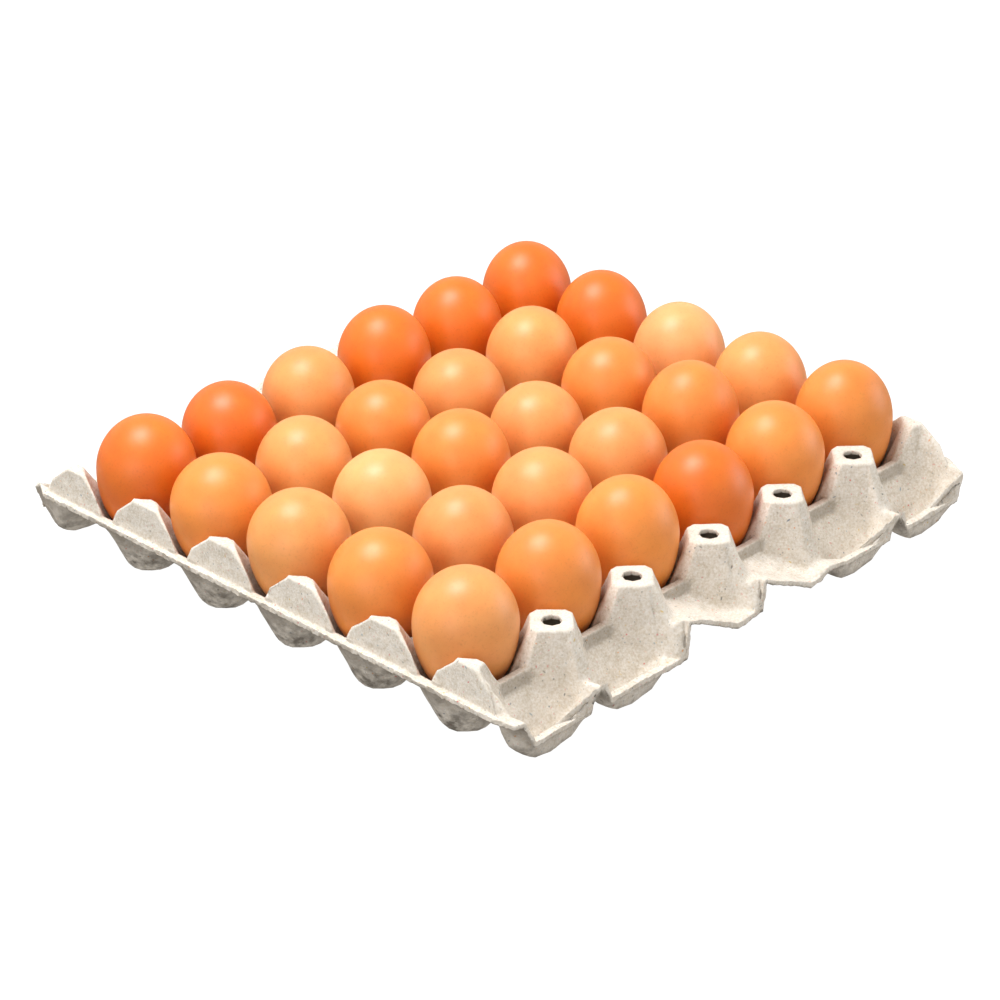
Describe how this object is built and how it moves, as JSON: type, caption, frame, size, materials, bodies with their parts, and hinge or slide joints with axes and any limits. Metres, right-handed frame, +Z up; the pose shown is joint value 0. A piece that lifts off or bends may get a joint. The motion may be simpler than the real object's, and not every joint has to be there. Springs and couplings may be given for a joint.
{
  "type": "tray of eggs",
  "caption": "Open square tray of moulded paper pulp, its cups between hollow posts filled with brown hen's eggs, blunt ends up.",
  "frame": {"origin": "on the ground under the middle of the tray", "axes": "+Z up, +X along the six cups of a row, +Y along the five rows, front row at -Y"},
  "size_m": [0.2932, 0.2932, 0.075],
  "materials": {
    "moulded_pulp": "rough warm grey recycled pulp with fine mottling and sparse coloured fibre flecks, undyed",
    "eggshell_pale": "matt pale brown eggshell with fine pores",
    "eggshell_light": "matt light brown eggshell with fine pores",
    "eggshell_mid": "matt mid brown eggshell with fine pores and faint speckle",
    "eggshell_deep": "matt deep brown eggshell with fine pores and speckle"
  },
  "bodies": {
    "root": {"tray": "moulded_pulp", "egg_1_1": "eggshell_light", "egg_1_2": "eggshell_mid", "egg_1_3": "eggshell_mid", "egg_1_4": "eggshell_deep", "egg_1_5": "eggshell_mid", "egg_1_6": "eggshell_mid", "egg_2_1": "eggshell_mid", "egg_2_2": "eggshell_light", "egg_2_3": "eggshell_light", "egg_2_4": "eggshell_light", "egg_2_5": "eggshell_mid", "egg_2_6": "eggshell_light", "egg_3_1": "eggshell_light", "egg_3_2": "eggshell_pale", "egg_3_3": "eggshell_mid", "egg_3_4": "eggshell_light", "egg_3_5": "eggshell_mid", "egg_3_6": "eggshell_pale", "egg_4_1": "eggshell_mid", "egg_4_2": "eggshell_light", "egg_4_3": "eggshell_mid", "egg_4_4": "eggshell_light", "egg_4_5": "eggshell_light", "egg_4_6": "eggshell_deep", "egg_5_1": "eggshell_deep", "egg_5_2": "eggshell_deep", "egg_5_3": "eggshell_light", "egg_5_4": "eggshell_deep", "egg_5_5": "eggshell_deep", "egg_5_6": "eggshell_deep"}
  },
  "joints": []
}
